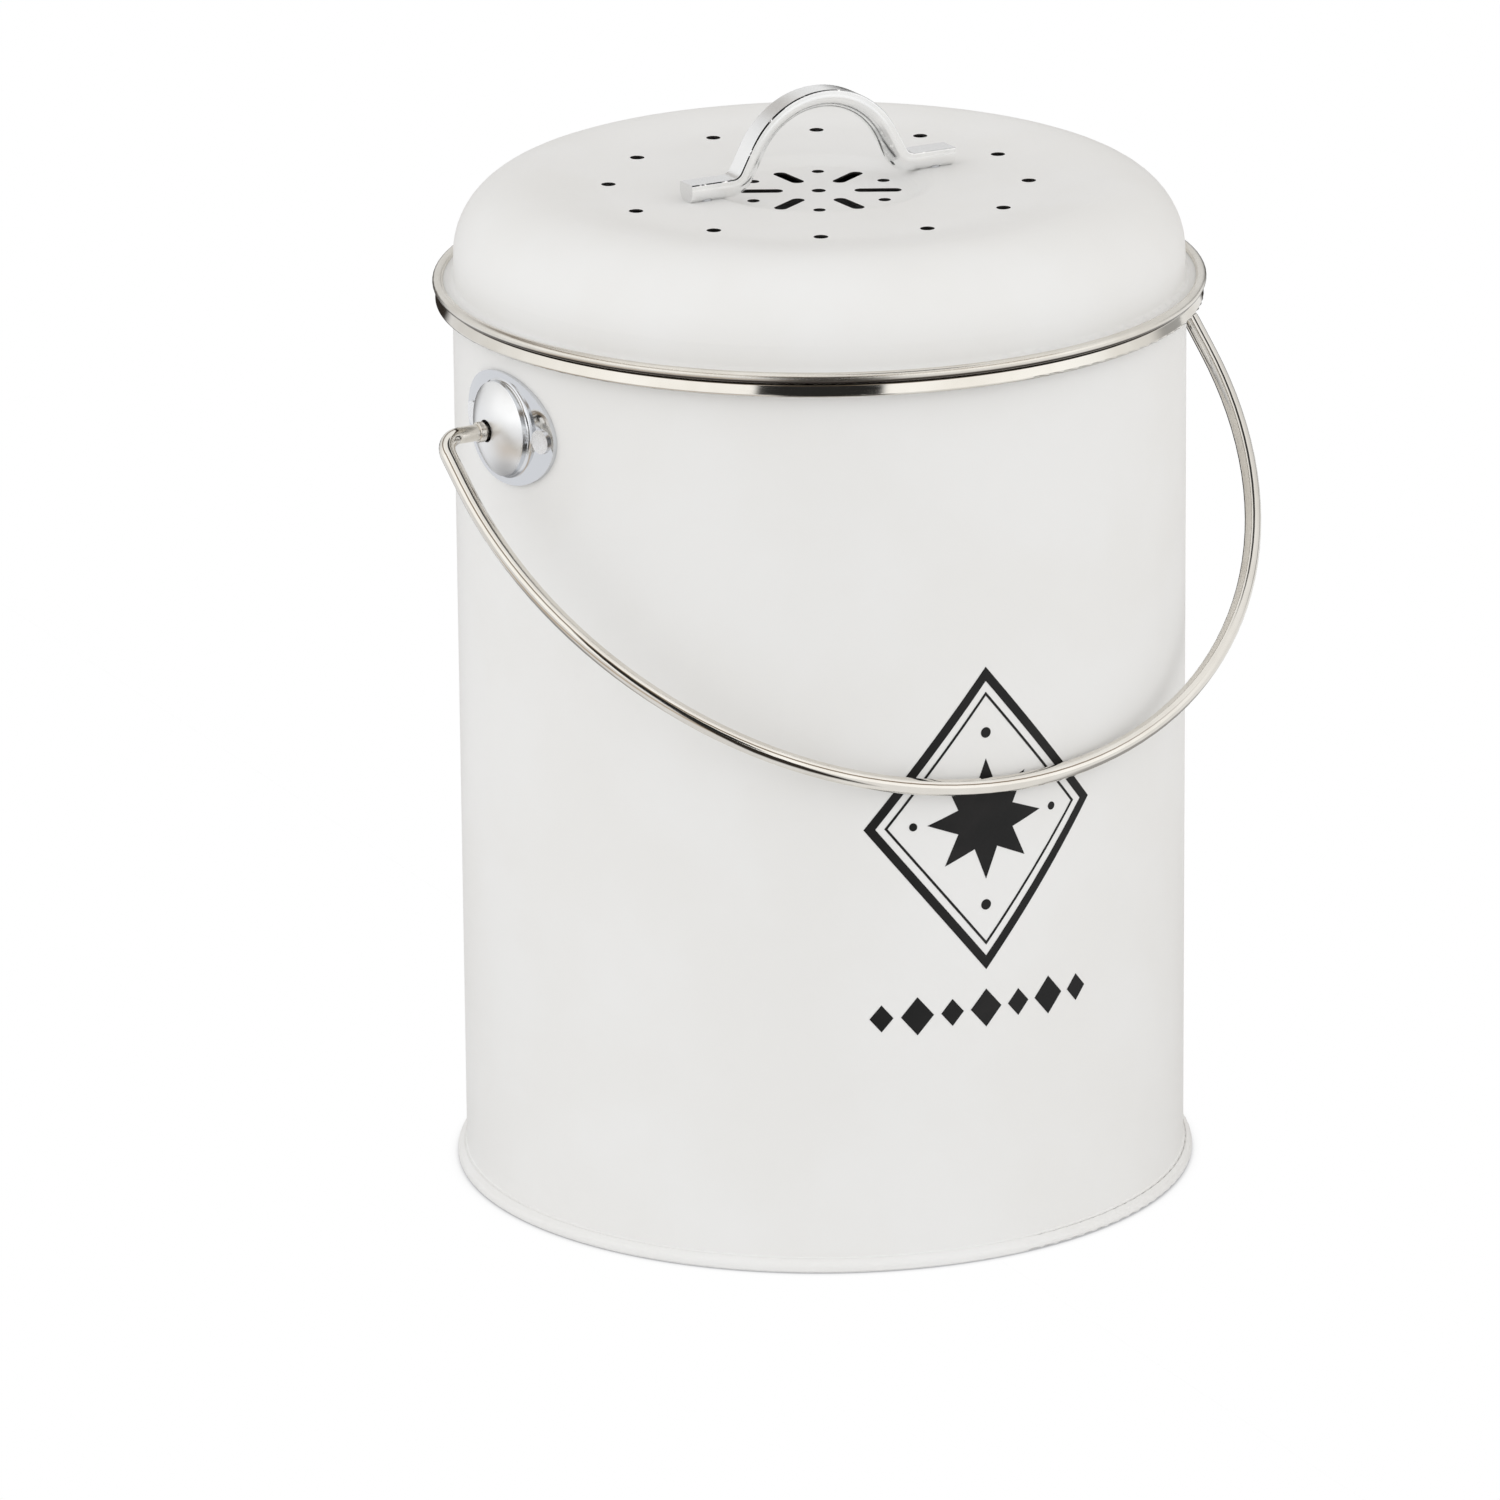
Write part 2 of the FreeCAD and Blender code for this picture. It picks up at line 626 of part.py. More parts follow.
def turned(shape):
    """A piece of the lid, turned with the lid to where it stands on the bin."""
    shape.rotate(ORIGIN, UP, LID_TURN)
    return shape


pieces = {
    "bin_wall": make_bin_wall(),
    "bin_base": make_bin_base(),
    "bin_rim_bead": make_bin_rim_bead(),
    "ear_left": make_ear(-1),
    "ear_right": make_ear(1),
    "ear_left_rivets": make_ear_rivets(-1),
    "ear_right_rivets": make_ear_rivets(1),
    "bail_handle": make_bail_handle(),
    "lid_dome": turned(make_lid_dome()),
    "lid_rim_bead": turned(curled_bead(LID_CENTRE, LID_BEAD, LID_STRIP, SHEET)),
    "lid_collar": turned(make_lid_collar()),
    "lid_handle": turned(make_lid_handle()),
    "handle_screws": turned(make_handle_screws()),
    "handle_washers": turned(make_handle_washers()),
    "filter_seat": turned(make_filter_seat()),
    "charcoal_filter": turned(make_charcoal_filter()),
    "filter_cap": turned(make_filter_cap()),
}

os.makedirs("parts", exist_ok=True)
for name, shape in pieces.items():
    shape.exportStep("parts/" + name + ".step")
    box = shape.BoundBox
    print(name, "solids", len(shape.Solids), "valid", shape.isValid(), "volume", round(shape.Volume, 1),
          "x", round(box.XMin, 2), round(box.XMax, 2), "y", round(box.YMin, 2), round(box.YMax, 2),
          "z", round(box.ZMin, 2), round(box.ZMax, 2))
print("bail rests", round(bail_rest_angle(), 2), "degrees below level, pivot height", round(PIVOT.z, 2))
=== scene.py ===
from math import cos, pi, radians, sin

import bmesh
import bpy
from mathutils import Matrix, Vector


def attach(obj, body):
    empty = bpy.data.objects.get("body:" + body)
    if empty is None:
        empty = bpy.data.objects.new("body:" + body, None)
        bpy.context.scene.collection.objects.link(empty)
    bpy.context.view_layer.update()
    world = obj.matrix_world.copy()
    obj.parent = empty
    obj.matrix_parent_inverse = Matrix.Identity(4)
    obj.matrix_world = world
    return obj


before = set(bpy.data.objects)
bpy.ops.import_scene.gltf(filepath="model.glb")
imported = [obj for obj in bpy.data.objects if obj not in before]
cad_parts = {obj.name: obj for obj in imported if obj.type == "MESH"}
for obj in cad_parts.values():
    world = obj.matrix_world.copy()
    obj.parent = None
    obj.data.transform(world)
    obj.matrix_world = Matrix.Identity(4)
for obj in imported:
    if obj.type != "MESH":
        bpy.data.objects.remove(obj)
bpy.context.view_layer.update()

# Bin wall: one sheet of mild steel rolled into a tube, its edges welded down the back and the weld
# pressed flat, then sprayed inside and out with a fine matte white powder coat and baked.
COAT_WHITE = (0.80, 0.797, 0.787, 1.0)
COAT_WARM = (0.785, 0.779, 0.764, 1.0)
COAT_SPECK = (0.66, 0.66, 0.645, 1.0)
PEEL_DEPTH = 0.00003


def new_finish(name):
    """A node material with its tree, its shader and the piece's own coordinates in metres."""
    material = bpy.data.materials.new(name)
    material.use_nodes = True
    tree = material.node_tree
    place = tree.nodes.new("ShaderNodeTexCoord").outputs["Object"]
    return material, tree, tree.nodes["Principled BSDF"], place


def node(tree, kind, inputs, **settings):
    """One shader node: numbers go on its sockets and other nodes' outputs are linked to them."""
    made = tree.nodes.new("ShaderNode" + kind)
    for name, value in settings.items():
        setattr(made, name, value)
    for socket, value in inputs.items():
        if isinstance(value, bpy.types.NodeSocket):
            tree.links.new(value, made.inputs[socket])
        else:
            made.inputs[socket].default_value = value
    return made


def between(tree, value, low, high, start=0.0, end=1.0):
    """A soft step of value from start, at low, to end, at high."""
    inputs = {"Value": value, "From Min": low, "From Max": high, "To Min": start, "To Max": end}
    return node(tree, "MapRange", inputs, interpolation_type="SMOOTHSTEP").outputs["Result"]


def noise(tree, place, scale, detail=2.0, rough=0.5):
    """Cloudy noise from 0 to 1 with the given cells to the metre."""
    inputs = {"Vector": place, "Scale": scale, "Detail": detail, "Roughness": rough}
    return node(tree, "TexNoise", inputs).outputs["Fac"]


def tint(tree, amount, first, second):
    """A colour between two, by an amount from 0 to 1."""
    mixed = node(tree, "Mix", {0: amount, 6: first, 7: second}, data_type="RGBA")
    return mixed.outputs[2]


def surface(tree, shader, colour, rough, metallic=0.0):
    """Gives a finish its colour and its roughness, and makes it bare metal where metallic is 1."""
    tree.links.new(colour, shader.inputs["Base Color"])
    tree.links.new(rough, shader.inputs["Roughness"])
    shader.inputs["Metallic"].default_value = metallic


def relief(tree, shader, height, depth, strength=1.0, under=None):
    """Raises the surface by height times depth metres, over an earlier relief if one is given."""
    inputs = {"Height": height, "Distance": depth, "Strength": strength}
    if under is not None:
        inputs["Normal"] = under
    bump = node(tree, "Bump", inputs).outputs["Normal"]
    tree.links.new(bump, shader.inputs["Normal"])
    return bump


def powder_coat(name):
    """Matte white powder coat: orange-peel grain, faint clouding and a soft low sheen."""
    material, tree, shader, place = new_finish(name)
    clouds = noise(tree, place, 26.0, 3.0)
    grains = noise(tree, place, 2600.0, 2.0, 0.6)
    shade = tint(tree, between(tree, clouds, 0.35, 0.65), COAT_WHITE, COAT_WARM)
    speck = between(tree, grains, 0.62, 0.78, 0.0, 0.05)
    colour = tint(tree, speck, shade, COAT_SPECK)
    surface(tree, shader, colour, between(tree, grains, 0.3, 0.7, 0.50, 0.60))
    shader.inputs["Specular IOR Level"].default_value = 0.32
    peel = noise(tree, place, 900.0, 2.0, 0.45)
    relief(tree, shader, peel, PEEL_DEPTH, 0.5)
    return material


def dress(name, material):
    """Gives a CAD node its finish."""
    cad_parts[name].material_slots[0].material = material


wall_coat = powder_coat("wall_coat")
dress("bin_wall", wall_coat)

# Back seam: the weld that closes the wall, rolled down to a low rounded band and coated with the wall.
# It runs from the base hem to the flange under the rim bead.
WALL_RADIUS = 0.0887
SEAM_HALF = 0.0021
SEAM_RISE = 0.0002
SEAM_BITE = 0.00003
SEAM_FOOT, SEAM_TOP = 0.0034, 0.2185
SEAM_STRIPS = 16
SEAM_THICK = 0.0001
SHARP_ANGLE = radians(40.0)


def thickened(shape, thick):
    """A bent sheet given its thickness, inwards."""
    shape.normal_update()
    bmesh.ops.solidify(shape, geom=shape.faces[:], thickness=thick)
    return shape


def finished(name, shape, material):
    """A finished piece: smooth apart from its sharp edges, dressed and put in the scene."""
    shape.normal_update()
    for face in shape.faces:
        face.smooth = True
    for edge in shape.edges:
        edge.smooth = edge.calc_face_angle(0.0) < SHARP_ANGLE
    mesh = bpy.data.meshes.new(name)
    shape.to_mesh(mesh)
    shape.free()
    mesh.materials.append(material)
    piece = bpy.data.objects.new(name, mesh)
    bpy.context.scene.collection.objects.link(piece)
    return piece


seam = bmesh.new()
foot_row, top_row = [], []
for i in range(SEAM_STRIPS + 1):
    across = 2.0 * i / SEAM_STRIPS - 1.0
    reach = WALL_RADIUS + SEAM_RISE * (1.0 - across * across) ** 2 - SEAM_BITE
    turn = across * SEAM_HALF / WALL_RADIUS
    foot_row.append(seam.verts.new((reach * sin(turn), reach * cos(turn), SEAM_FOOT)))
    top_row.append(seam.verts.new((reach * sin(turn), reach * cos(turn), SEAM_TOP)))
for i in range(SEAM_STRIPS):
    seam.faces.new((foot_row[i + 1], foot_row[i], top_row[i], top_row[i + 1]))
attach(finished("wall_seam", thickened(seam, SEAM_THICK), wall_coat), "bin")

# Base: a shallow pressed pan whose edge runs out under the wall and is folded up and over its foot, which
# leaves the standing hem. It is coated together with the wall, a little thicker in the folded edge.
base_coat = powder_coat("base_coat")
dress("bin_base", base_coat)

# Coat in the hem's groove: powder gathers where the folded edge lies against the wall and bakes to a
# small hollow fillet all the way round. Its section is given as radius and height in millimetres.
FILLET_TURNS = 192
FILLET_SECTION = (
    (88.66, 2.70),
    (88.66, 3.62),
    (88.71, 3.47),
    (88.80, 3.33),
    (88.95, 3.22),
    (89.16, 3.17),
    (89.14, 2.95),
)
MILLIMETRE = 0.001
MERGE_WITHIN = 0.000001
fillet = bmesh.new()
corners = [fillet.verts.new((MILLIMETRE * x, 0.0, MILLIMETRE * z)) for x, z in FILLET_SECTION]
edges = [fillet.edges.new((corners[i], corners[(i + 1) % len(corners)])) for i in range(len(corners))]
bmesh.ops.spin(
    fillet,
    geom=corners + edges,
    cent=(0.0, 0.0, 0.0),
    axis=(0.0, 0.0, 1.0),
    angle=2.0 * pi,
    steps=FILLET_TURNS,
    use_merge=True,
)
bmesh.ops.remove_doubles(fillet, verts=fillet.verts[:], dist=MERGE_WITHIN)
bmesh.ops.recalc_face_normals(fillet, faces=fillet.faces[:])
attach(finished("hem_coat_fillet", fillet, base_coat), "bin")

# Rim bead of the bin: a strip of bare stainless steel folded round the flanged top of the wall by
# rollers, which leave fine lines along it, and polished after folding.
STEEL = (0.785, 0.757, 0.70, 1.0)
STEEL_DULL = (0.71, 0.675, 0.61, 1.0)
GAP_SHADE_DARK = (0.06, 0.048, 0.04, 1.0)
LINE_STRETCH = 0.0022
LINE_DEPTH = 0.000001


def sums(tree, operation, *values):
    """Several values joined by one operation, pair after pair, or a single value changed by it."""
    result = values[0]
    for value in values[1:] or (0.0,):
        result = node(tree, "Math", {0: result, 1: value}, operation=operation).outputs[0]
    return result


def length(tree, across, along):
    """The length of a flat vector, from its two sides."""
    flat = node(tree, "CombineXYZ", {"X": across, "Y": along}).outputs[0]
    return node(tree, "VectorMath", {0: flat}, operation="LENGTH").outputs["Value"]


def axes_of(tree, vector):
    """The X, Y and Z of a vector."""
    return node(tree, "SeparateXYZ", {0: vector}).outputs


def rolled_steel(name, smooth, dull, gap_shade):
    """Polished strip with fine lines that run round the rim, darkened by painted shade where it faces
    down.
    """
    material, tree, shader, place = new_finish(name)
    axes = axes_of(tree, place)
    radius = length(tree, axes["X"], axes["Y"])
    angle = sums(tree, "ARCTAN2", axes["Y"], axes["X"])
    along = sums(tree, "MULTIPLY", angle, LINE_STRETCH)
    strip = node(tree, "CombineXYZ", {"X": radius, "Y": axes["Z"], "Z": along}).outputs[0]
    lines = noise(tree, strip, 5200.0, 2.0, 0.6)
    clouds = noise(tree, place, 60.0, 3.0)
    polished = tint(tree, between(tree, clouds, 0.3, 0.7), STEEL, STEEL_DULL)
    facing = node(tree, "NewGeometry", {}).outputs["Normal"]
    # Painted shade: the bead is darkened where it faces down, under it and in the gap between the lid's
    # bead and the bin's.
    painted_shade = between(tree, axes_of(tree, facing)["Z"], -0.47, -0.14, gap_shade, 0.0)
    colour = tint(tree, painted_shade, polished, GAP_SHADE_DARK)
    surface(tree, shader, colour, between(tree, lines, 0.25, 0.75, smooth, dull), metallic=1.0)
    relief(tree, shader, lines, LINE_DEPTH, 0.05)
    return material


# A light painted shade darkens this bead's underside.
dress("bin_rim_bead", rolled_steel("rim_steel", smooth=0.05, dull=0.10, gap_shade=0.2))

# Bail ears: pressed from thin steel with a domed boss in the middle and plated; the flange keeps the
# mirror of the plating and the dome is left satin by the press tool.
EAR_PIVOT = 0.1994
DOME_EDGE, FLANGE_EDGE = 0.0108, 0.0122
CREASE_REACH = 0.0007
BRIGHT = (0.72, 0.735, 0.76, 1.0)
SATIN = (0.90, 0.905, 0.905, 1.0)
CREASE_SHADE_DARK = (0.30, 0.30, 0.31, 1.0)


def plated_ear(name):
    """Bright plating on the flange, satin on the dome and painted shade darkening the creases."""
    material, tree, shader, place = new_finish(name)
    axes = axes_of(tree, place)
    rise = sums(tree, "SUBTRACT", axes["Z"], EAR_PIVOT)
    flange = between(tree, length(tree, axes["Y"], rise), DOME_EDGE, FLANGE_EDGE)
    clouds = noise(tree, place, 240.0, 3.0)
    grains = noise(tree, place, 3200.0, 2.0, 0.6)
    # Painted shade: ambient occlusion darkens the creases round the rivets, the dome's foot and the
    # flange's edge.
    crease_occlusion = node(tree, "AmbientOcclusion", {"Distance": CREASE_REACH}, samples=8).outputs["AO"]
    plated = tint(tree, flange, SATIN, BRIGHT)
    colour = tint(tree, between(tree, crease_occlusion, 0.25, 0.7), CREASE_SHADE_DARK, plated)
    dome = between(tree, clouds, 0.3, 0.7, 0.30, 0.37)
    mirror = between(tree, clouds, 0.3, 0.7, 0.05, 0.09)
    gloss = node(tree, "Mix", {0: flange, 2: dome, 3: mirror}).outputs[0]
    surface(tree, shader, colour, gloss, metallic=1.0)
    dented = relief(tree, shader, clouds, 0.00002, 0.05)
    relief(tree, shader, grains, 0.000003, 0.08, dented)
    return material


ear_plating = plated_ear("ear_plating")
for side in ("ear_left", "ear_right"):
    dress(side, ear_plating)

# Ear rivets: bright plated steel, two to each ear, set from inside the bin with a low flat head left
# outside and a punched head on the coat within.
RIVET_BRIGHT = (0.95, 0.95, 0.955, 1.0)
RIVET_SCUFFED = (0.88, 0.885, 0.89, 1.0)
rivet_plating, tree, shader, place = new_finish("rivet_plating")
scuffs = noise(tree, place, 700.0, 3.0, 0.6)
colour = tint(tree, scuffs, RIVET_BRIGHT, RIVET_SCUFFED)
surface(tree, shader, colour, between(tree, scuffs, 0.3, 0.7, 0.22, 0.30), metallic=1.0)
relief(tree, shader, scuffs, 0.00001, 0.03)
for side in ("ear_left_rivets", "ear_right_rivets"):
    dress(side, rivet_plating)

# Bail: a four millimetre drawn wire bent into a bow, with its ends turned in through the ears and
# upset into heads. Bright drawn steel, nickel plated and rubbed to a near mirror.
BAIL_BRIGHT = (0.80, 0.77, 0.715, 1.0)
BAIL_CLOUDED = (0.74, 0.705, 0.645, 1.0)
bail_plating, tree, shader, place = new_finish("bail_plating")
clouds = noise(tree, place, 70.0, 3.0)
scuffs = noise(tree, place, 300.0, 3.0, 0.6)
colour = tint(tree, between(tree, clouds, 0.3, 0.7), BAIL_BRIGHT, BAIL_CLOUDED)
surface(tree, shader, colour, between(tree, scuffs, 0.3, 0.7, 0.07, 0.11), metallic=1.0)
dress("bail_handle", bail_plating)

# Front print: one pass of black screen ink on the coat, a tall lozenge with a star in it and a row of
# small diamonds under it. The ink film is a few hundredths of a millimetre thick.
INK_OVER = 0.00006
INK_UNDER = 0.00004
INK_BLACK = (0.008, 0.008, 0.008, 1.0)
INK_THIN = (0.013, 0.012, 0.012, 1.0)
PRINT_TURN = radians(-6.7)
PRINT_MIDDLE = 0.111
CUT_STEP = 0.002
CUTS_ASIDE = 17
PLAIN = (1.0, 1.0, 1.0)
TALL = (1.0, 1.24, 1.0)
NARROW = (0.85, 1.0, 1.0)
LOZENGE, LOZENGE_BAND = 0.0305, 0.0022
INNER_LOZENGE, INNER_LINE = 0.0255, 0.0006
STAR, STAR_NOTCH = 0.0150, 0.0078
DOT_ABOVE, DOT_ABOVE_AT = 0.0013, 0.0215
DOT_BESIDE, DOT_BESIDE_AT = 0.0010, 0.0185
DIAMOND_LARGE, DIAMOND_SMALL = 0.0048, 0.0034
ROW_STEP, ROW_DROP = 0.0088, 0.0475


def ink_shape(shape, corners, radius, stretch, at, ring=None, inner=None):
    """A flat inked figure of so many corners: filled, a ring of some width, or a star with notches."""
    part = bmesh.new()
    bmesh.ops.create_circle(part, cap_ends=True, segments=corners, radius=radius)
    if inner is not None:
        for i, corner in enumerate(part.verts):
            if i % 2:
                corner.co *= inner / radius
    bmesh.ops.scale(part, vec=stretch, verts=part.verts)
    if ring is not None:
        bmesh.ops.inset_region(
            part, faces=part.faces[:], thickness=ring, use_boundary=True, use_even_offset=True
        )
        middle = [f for f in part.faces if all(not e.is_boundary for e in f.edges)]
        bmesh.ops.delete(part, geom=middle, context="FACES")
    bmesh.ops.translate(part, vec=(at[0], at[1], 0.0), verts=part.verts)
    flat = bpy.data.meshes.new("ink_figure")
    part.to_mesh(flat)
    part.free()
    shape.from_mesh(flat)
    bpy.data.meshes.remove(flat)


ink = bmesh.new()
ink_shape(ink, 4, LOZENGE, TALL, (0.0, 0.0), ring=LOZENGE_BAND)
ink_shape(ink, 4, INNER_LOZENGE, TALL, (0.0, 0.0), ring=INNER_LINE)
ink_shape(ink, 16, STAR, PLAIN, (0.0, 0.0), inner=STAR_NOTCH)
for side in (-1.0, 1.0):
    ink_shape(ink, 24, DOT_ABOVE, PLAIN, (0.0, side * DOT_ABOVE_AT))
    ink_shape(ink, 24, DOT_BESIDE, PLAIN, (side * DOT_BESIDE_AT, 0.0))
for place_in_row in range(-3, 4):
    diamond = DIAMOND_SMALL if place_in_row % 2 else DIAMOND_LARGE
    ink_shape(ink, 4, diamond, NARROW, (place_in_row * ROW_STEP, -ROW_DROP))
bmesh.ops.triangulate(ink, faces=[f for f in ink.faces if len(f.verts) > 4], ngon_method="EAR_CLIP")
for step in range(-CUTS_ASIDE, CUTS_ASIDE + 1):
    bmesh.ops.bisect_plane(
        ink,
        geom=ink.verts[:] + ink.edges[:] + ink.faces[:],
        plane_co=(step * CUT_STEP, 0.0, 0.0),
        plane_no=(1.0, 0.0, 0.0),
    )
reach = WALL_RADIUS + INK_OVER
for v in ink.verts:
    angle = PRINT_TURN + v.co.x / WALL_RADIUS
    v.co = Vector((reach * sin(angle), -reach * cos(angle), PRINT_MIDDLE + v.co.y))
screen_ink, tree, shader, place = new_finish("screen_ink")
mesh_marks = noise(tree, place, 2400.0, 2.0, 0.6)
thin_spots = noise(tree, place, 90.0, 3.0)
colour = tint(tree, between(tree, thin_spots, 0.3, 0.7), INK_BLACK, INK_THIN)
surface(tree, shader, colour, between(tree, mesh_marks, 0.3, 0.7, 0.42, 0.56))
shader.inputs["Specular IOR Level"].default_value = 0.22
relief(tree, shader, mesh_marks, 0.00001, 0.4)
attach(finished("front_print", thickened(ink, INK_OVER + INK_UNDER), screen_ink), "bin")

# Lid: one pressing with a wide soft shoulder, a slightly sunk top and a dished rosette of vents, the
# same powder coat as the bin; the vents are punched through the coat, and their walls are painted near
# black as painted shade inside the holes. A plain collar is spot welded inside it and drops into the
# mouth.
VENT_FIELD, VENT_FIELD_END = 0.0545, 0.0555
VENT_SHADE_DARK = (0.02, 0.018, 0.016, 1.0)
lid_coat = powder_coat("lid_coat")
tree = lid_coat.node_tree
place = node(tree, "TexCoord", {}).outputs["Object"]
axes = axes_of(tree, place)
in_field = between(tree, length(tree, axes["X"], axes["Y"]), VENT_FIELD, VENT_FIELD_END, 1.0, 0.0)
facing = node(tree, "NewGeometry", {}).outputs["True Normal"]
level = sums(tree, "ABSOLUTE", axes_of(tree, facing)["Z"])
# Painted shade: the vent walls are coloured near black so that the holes read dark.
vent_shade = sums(tree, "MULTIPLY", between(tree, level, 0.2, 0.5, 1.0, 0.0), in_field)
coat_colour = tree.nodes["Principled BSDF"].inputs["Base Color"]
coated = coat_colour.links[0].from_socket
tree.links.new(tint(tree, vent_shade, coated, VENT_SHADE_DARK), coat_colour)
dress("lid_dome", lid_coat)
dress("lid_collar", lid_coat)

# Rim bead of the lid: the same stainless strip as on the bin, but curled small and round over the lid's
# flange, which works it harder and leaves it satin. Its underside carries the full painted shade of the
# gap.
dress("lid_rim_bead", rolled_steel("lid_rim_steel", smooth=0.21, dull=0.27, gap_shade=1.0))

# Lid handle: a steel bar of D section bent to an arch on two feet, tumbled and satin nickel plated, so it
# is fine grained with duller feet and sawn ends; a painted dark reflection lies in a broken line along
# its front edge.
ARCH_END, FOOT_START = 0.022, 0.026
PLATED_BRIGHT = (0.985, 0.985, 0.98, 1.0)
PLATED_CLOUDED = (0.955, 0.96, 0.96, 1.0)
FOOT_DULL = (0.82, 0.82, 0.82, 1.0)
DARK_REFLECTION = (0.03, 0.03, 0.032, 1.0)
handle_plating, tree, shader, place = new_finish("handle_plating")
grains = noise(tree, place, 3400.0, 3.0, 0.65)
clouds = noise(tree, place, 160.0, 3.0)
plated = tint(tree, between(tree, clouds, 0.3, 0.7), PLATED_BRIGHT, PLATED_CLOUDED)
facing = axes_of(tree, node(tree, "NewGeometry", {}).outputs["Normal"])
where = axes_of(tree, place)["X"]
foot = between(tree, sums(tree, "ABSOLUTE", where), ARCH_END, FOOT_START)
flat_top = between(tree, facing["Z"], 0.75, 0.95)
sawn_end = between(tree, sums(tree, "ABSOLUTE", facing["X"]), 0.88, 0.97)
dull = sums(tree, "MULTIPLY", sums(tree, "MAXIMUM", flat_top, sawn_end), foot)
plated = tint(tree, dull, plated, FOOT_DULL)
outward = sums(tree, "SUBTRACT", facing["Z"], sums(tree, "MULTIPLY", facing["X"], 0.8))
# Painted reflection: a broken dark line along the arch's front top edge, stronger to the left.
painted_reflection = sums(
    tree,
    "MULTIPLY",
    between(tree, facing["Y"], -0.985, -0.94),
    between(tree, facing["Y"], -0.26, -0.12, 1.0, 0.0),
    between(tree, outward, 0.02, 0.12),
    between(tree, where, -0.006, 0.016, 1.0, 0.25),
    between(tree, noise(tree, place, 620.0, 3.0, 0.6), 0.32, 0.44),
)
colour = tint(tree, painted_reflection, plated, DARK_REFLECTION)
surface(tree, shader, colour, between(tree, grains, 0.25, 0.75, 0.16, 0.26), metallic=1.0)
tumbled = relief(tree, shader, clouds, 0.0001, 0.12)
relief(tree, shader, grains, 0.00001, 0.4, tumbled)
dress("lid_handle", handle_plating)

# Handle screws and washers: plain zinc plated steel, dull blue grey with a fine crystal grain. They come
# up through the filter seat and the lid into the handle's feet.
ZINC_DARK = (0.62, 0.64, 0.67, 1.0)
ZINC_LIGHT = (0.74, 0.75, 0.77, 1.0)
zinc_plating, tree, shader, place = new_finish("zinc_plating")
grains = noise(tree, place, 1400.0, 3.0, 0.6)
colour = tint(tree, grains, ZINC_DARK, ZINC_LIGHT)
surface(tree, shader, colour, between(tree, grains, 0.3, 0.7, 0.26, 0.42), metallic=1.0)
relief(tree, shader, grains, 0.00001, 0.4)
for fixing in ("handle_screws", "handle_washers"):
    dress(fixing, zinc_plating)

# Filter seat and cap: moulded polypropylene, off-white, with the fine spark texture of the mould. The
# handle's screws clamp the seat under the lid, and the cap pushes onto it.
PLASTIC_PALE = (0.74, 0.74, 0.72, 1.0)
PLASTIC_FLOW = (0.70, 0.70, 0.675, 1.0)
mould_plastic, tree, shader, place = new_finish("mould_plastic")
spark = noise(tree, place, 1500.0, 2.0, 0.6)
flow = noise(tree, place, 34.0, 3.0)
colour = tint(tree, between(tree, flow, 0.3, 0.7), PLASTIC_PALE, PLASTIC_FLOW)
surface(tree, shader, colour, between(tree, spark, 0.3, 0.7, 0.44, 0.56))
shader.inputs["Subsurface Weight"].default_value = 0.05
shader.inputs["Subsurface Radius"].default_value = (0.002, 0.002, 0.0018)
relief(tree, shader, spark, 0.00002, 0.35)
for moulding in ("filter_seat", "filter_cap"):
    dress(moulding, mould_plastic)

# Charcoal filter: a pad of polyester felt soaked in ground charcoal, loose fibred and dead black. It lies
# loose in the filter cap.
FELT_BLACK = (0.012, 0.012, 0.013, 1.0)
FELT_DUSTY = (0.05, 0.05, 0.052, 1.0)
charcoal_felt, tree, shader, place = new_finish("charcoal_felt")
stretch = node(tree, "Mapping", {"Vector": place, "Scale": (1.0, 1.0, 4.0)}).outputs[0]
fibres = noise(tree, stretch, 1100.0, 4.0, 0.7)
tufts = noise(tree, place, 180.0, 2.0)
colour = tint(tree, fibres, FELT_BLACK, FELT_DUSTY)
surface(tree, shader, colour, between(tree, fibres, 0.2, 0.8, 0.85, 0.98))
shader.inputs["Sheen Weight"].default_value = 0.15
tufted = relief(tree, shader, tufts, 0.0006, 0.5)
relief(tree, shader, fibres, 0.0003, 0.7, tufted)
dress("charcoal_filter", charcoal_felt)

# Floor: a wide white sweep, plain white to the camera with the bin's soft contact shadow on it, and
# alight under the bin for views from below. Polished metal mirrors a room on it instead: pale with a tan
# ring on the left, and dark by the camera, close beside the bin and far behind it.
CAMERA_TURN = radians(32.6)
FLOOR_RADIUS = 30.0
CONTACT_REACH = 0.007
WHITE = (1.0, 1.0, 1.0, 1.0)
CONTACT_GREY = (0.45, 0.45, 0.46, 1.0)
SWEEP_WHITE = (0.82, 0.82, 0.82, 1.0)
UNDER_GLOW = (0.9, 0.9, 0.9, 1.0)
ROOM_PALE = (0.85, 0.855, 0.87, 1.0)
ROOM_TAN = (0.56, 0.475, 0.385, 1.0)
ROOM_WHITE = (0.92, 0.92, 0.92, 1.0)
ROOM_DARK = (0.035, 0.030, 0.026, 1.0)


def by_degrees(tree, angle, low, high, start=0.0, end=1.0):
    """A soft step of an angle, with the ends of the step in degrees."""
    return between(tree, angle, radians(low), radians(high), start, end)


def to_camera(tree, way):
    """A place or a direction turned about the bin's axis, which brings the camera's side to -Y."""
    inputs = {"Vector": way, "Angle": CAMERA_TURN}
    return node(tree, "VectorRotate", inputs, rotation_type="Z_AXIS").outputs[0]


def aside_of(tree, way):
    """The angle of a turned place or direction round the bin: 0 at the camera, growing to its right."""
    axes = axes_of(tree, way)
    return sums(tree, "ARCTAN2", axes["X"], sums(tree, "MULTIPLY", axes["Y"], -1.0))


